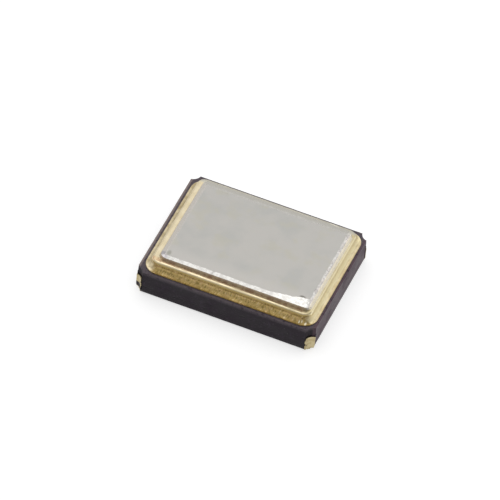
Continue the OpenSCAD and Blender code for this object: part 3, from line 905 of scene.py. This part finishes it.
NICKEL_TONES = ((0.505, 0.490, 0.462), (0.468, 0.462, 0.440))
NICKEL_TINT = (0.495, 0.475, 0.40)
NEAR_FRONT_TONE, NEAR_FRONT_Y = (0.535, 0.515, 0.485), (-0.60, -0.84)
START_MARK_TONE, START_MARK_AT = (0.22, 0.22, 0.17), (TRACK_START_X, -0.865, LID_TOP)
END_MARK_TONE, END_MARK_AT = (0.12, 0.11, 0.09), (1.195, -0.795, LID_TOP)
ROLLED_TONES = ((0.66, 0.65, 0.62), (0.55, 0.535, 0.51))
UNROLLED_TONE = (0.44, 0.42, 0.425)
UNROLLED_X = (TRACK_START_X + 0.02, TRACK_START_X - 0.01)
LOW_FRONT_Y = (LID_FRONT + 0.14, LID_FRONT + 0.11)

nickel = finish_of("satin_nickel", (0.485, 0.47, 0.44), 1, 0.38)
cloud = specks(nickel, 0.5, detail=3)
tint = specks(nickel, 0.28, detail=2)
fine = specks(nickel, 0.025, detail=4)
tone = mixed(nickel, ramp(nickel, cloud, *KEEN_SPLIT), *NICKEL_TONES)
tone = mixed(nickel, ramp(nickel, tint, 0.52, 0.70, 0, 0.5), tone, NICKEL_TINT)
near_front = ramp(nickel, along(nickel, "Y"), *NEAR_FRONT_Y, 0, 0.8)
tone = mixed(nickel, near_front, tone, NEAR_FRONT_TONE)
tone, sparks = add_weld_look(nickel, tone)
start_mark = spot(nickel, START_MARK_AT, 0.05, stretch=(1, 0.6, 1))
tone = mixed(nickel, times(nickel, start_mark, 0.5), tone, START_MARK_TONE)
end_mark = spot(nickel, END_MARK_AT, 0.035, stretch=(0.5, 1, 1))
tone = mixed(nickel, times(nickel, end_mark, 0.7), tone, END_MARK_TONE)
set_look(
    nickel,
    colour=tone,
    roughness=ramp(nickel, cloud, *NOISE_SPAN, 0.36, 0.42),
    heights=[(cloud, 0.0012), (fine, 0.0006), (sparks, 0.006)],
)
rolled = finish_of("rolled_track", (0.66, 0.65, 0.62), 1, 0.24)
ripple = specks(rolled, 0.05, detail=3)
fine = specks(rolled, 0.015, detail=3)
tone = mixed(rolled, ramp(rolled, ripple, *EVEN_SPLIT), *ROLLED_TONES)
tone, sparks = add_weld_look(rolled, tone)
unrolled = ramp(rolled, along(rolled, "X"), *UNROLLED_X)
low_front = ramp(rolled, along(rolled, "Y"), *LOW_FRONT_Y)
unrolled = times(rolled, unrolled, low_front)
tone = mixed(rolled, unrolled, tone, UNROLLED_TONE)
set_look(
    rolled,
    colour=tone,
    roughness=ramp(rolled, ripple, *NOISE_SPAN, 0.20, 0.30),
    heights=[(ripple, 0.0015), (fine, 0.0006), (sparks, 0.006)],
)
lid.data.materials.append(nickel)
lid.data.materials.append(rolled)
work_on(lid)
bpy.ops.object.mode_set(mode="EDIT")
pick(lid, "FACE", lambda face: TRACK_TILT < face.normal.z < TRULY_FLAT)
lid.active_material_index = 1
bpy.ops.object.material_slot_assign()
pick(lid, "FACE", lambda face: face.normal.z > TRULY_FLAT)
bpy.ops.mesh.quads_convert_to_tris(ngon_method="BEAUTY")
pick(lid, "FACE", lambda face: face.normal.z > TRULY_FLAT)
bpy.ops.mesh.region_to_loop()
bpy.ops.mesh.mark_sharp()
bpy.ops.object.mode_set(mode="OBJECT")
put_in_place(lid, "lid", crease=14, shift=LID_SHIFT)


# What is sealed inside.
# Printed tungsten under the chip, gold stud bumps, the thinned silicon chip, two dots of
# silver adhesive and the quartz blank with its silver films. Nothing of it shows.
TUNGSTEN_TONES = ((0.19, 0.19, 0.20), (0.10, 0.10, 0.11))
STUD_TONES = ((0.74, 0.50, 0.15), (0.62, 0.38, 0.09))
SILICON_TONES = ((0.12, 0.14, 0.17), (0.085, 0.10, 0.13))
ADHESIVE_TONES = ((0.33, 0.33, 0.31), (0.55, 0.55, 0.53))
SILVER_TONES = ((0.83, 0.83, 0.79), (0.74, 0.74, 0.70))
QUARTZ_CLEAR, QUARTZ_IOR = 0.9, 1.54

tungsten = finish_of("fired_tungsten", (0.15, 0.15, 0.16), 1, 0.6)
grit = specks(tungsten, 0.012, detail=4)
set_look(
    tungsten,
    colour=mixed(tungsten, ramp(tungsten, grit, *EVEN_SPLIT), *TUNGSTEN_TONES),
    roughness=ramp(tungsten, grit, *NOISE_SPAN, 0.5, 0.75),
    heights=[(grit, 0.002)],
)
stud_gold = finish_of("stud_gold", (0.70, 0.46, 0.12), 1, 0.35)
dent = specks(stud_gold, 0.02, detail=2)
set_look(
    stud_gold,
    colour=mixed(stud_gold, ramp(stud_gold, dent, *EVEN_SPLIT), *STUD_TONES),
    roughness=ramp(stud_gold, dent, *NOISE_SPAN, 0.28, 0.42),
    heights=[(dent, 0.001)],
)
silicon = finish_of("lapped_silicon", (0.10, 0.12, 0.15), 1, 0.3)
lapping = specks(silicon, 0.02, detail=3, stretch=(1, 0.1, 1), turn=(0, 0, 20))
set_look(
    silicon,
    colour=mixed(silicon, ramp(silicon, lapping, *EVEN_SPLIT), *SILICON_TONES),
    roughness=ramp(silicon, lapping, *NOISE_SPAN, 0.24, 0.36),
    heights=[(lapping, 0.0004)],
)
adhesive = finish_of("silver_adhesive", (0.40, 0.40, 0.38), 0.4, 0.6)
flake = specks(adhesive, 0.012, detail=3)
set_look(
    adhesive,
    colour=mixed(adhesive, ramp(adhesive, flake, 0.4, 0.6), *ADHESIVE_TONES),
    roughness=ramp(adhesive, flake, *NOISE_SPAN, 0.7, 0.45),
    heights=[(flake, 0.002)],
)
quartz = finish_of("etched_quartz", (0.88, 0.92, 0.94), 0, 0.08)
clear = quartz.node_tree.nodes["Principled BSDF"]
clear.inputs["Transmission Weight"].default_value = QUARTZ_CLEAR
clear.inputs["IOR"].default_value = QUARTZ_IOR
etch = specks(quartz, 0.02, detail=2)
set_look(quartz, roughness=ramp(quartz, etch, *NOISE_SPAN, 0.04, 0.14), heights=[(etch, 0.0002)])
silver = finish_of("silver_film", (0.80, 0.80, 0.76), 1, 0.16)
film = specks(silver, 0.06, detail=2)
set_look(
    silver,
    colour=mixed(silver, ramp(silver, film, *EVEN_SPLIT), *SILVER_TONES),
    roughness=ramp(silver, film, *NOISE_SPAN, 0.12, 0.22),
    heights=[(film, 0.0002)],
)
SEALED = {
    "printed_tungsten": tungsten,
    "bump_gold": stud_gold,
    "silicon": silicon,
    "silver_adhesive": adhesive,
    "quartz": quartz,
    "silver_film": silver,
}
for part in frame["record"]["subparts"]:
    if part["material_slot"] in SEALED:
        sealed = frame["nodes"][part["node"]]
        sealed.data.materials.clear()
        sealed.data.materials.append(SEALED[part["material_slot"]])


# The table and the light.
# A white table top runs well past the picture. Soft boxes stand behind on the left, behind
# on the right and to the left, and one hangs overhead, in a plain room.
FLOOR_SIDE = 600 * MM
FLOOR_GAP = 0.001 * MM
FLOOR_LIFT = 0.63
LAMP_DISTANCE = 150 * MM
ROOM_LIGHT = 0.45
bpy.ops.object.select_all(action="DESELECT")
bpy.ops.mesh.primitive_plane_add(size=FLOOR_SIDE, location=(0, 0, -FLOOR_GAP))
floor = bpy.context.object
floor.name = "table_top"
paper = finish_of("white_paper", (0.52, 0.52, 0.52), 0, 0.9, specular=0.0)
nodes, links = paper.node_tree.nodes, paper.node_tree.links
ray = nodes.new("ShaderNodeLightPath")
seen = joined(paper, "MAXIMUM", ray.outputs["Is Camera Ray"], ray.outputs["Is Glossy Ray"])
seen = joined(paper, "MAXIMUM", seen, ray.outputs["Is Transmission Ray"])
surface = nodes["Principled BSDF"]
surface.inputs["Emission Color"].default_value = (1, 1, 1, 1)
links.new(times(paper, seen, FLOOR_LIFT), surface.inputs["Emission Strength"])
floor.data.materials.append(paper)


def soft_box(name, azimuth, elevation, distance, half_angle, radiance):
    """A square lamp that looks at the package, seen from it at these angles in degrees."""
    a, e = math.radians(azimuth), math.radians(elevation)
    place = Vector((math.sin(a) * math.cos(e), math.cos(a) * math.cos(e), math.sin(e)))
    side = 2 * distance * math.tan(math.radians(half_angle))
    bpy.ops.object.light_add(type="AREA", location=place * distance)
    lamp = bpy.context.object
    lamp.name = name
    lamp.rotation_euler = (-place).to_track_quat("-Z", "Y").to_euler()
    lamp.data.shape = "SQUARE"
    lamp.data.size = side
    lamp.data.energy = radiance * math.pi * side * side


soft_box("back_left_box", -25, 46, LAMP_DISTANCE, half_angle=36, radiance=0.45)
soft_box("overhead_box", -60, 84, LAMP_DISTANCE, half_angle=24, radiance=0.95)
soft_box("right_box", 36, 34, LAMP_DISTANCE, half_angle=20, radiance=0.7)
soft_box("left_box", -92, 22, LAMP_DISTANCE, half_angle=20, radiance=0.5)

room = bpy.data.worlds.new("room")
bpy.context.scene.world = room
room.use_nodes = True
room.node_tree.nodes["Background"].inputs["Color"].default_value = (1, 1, 1, 1)
room.node_tree.nodes["Background"].inputs["Strength"].default_value = ROOM_LIGHT
bpy.context.scene.view_settings.view_transform = "Standard"
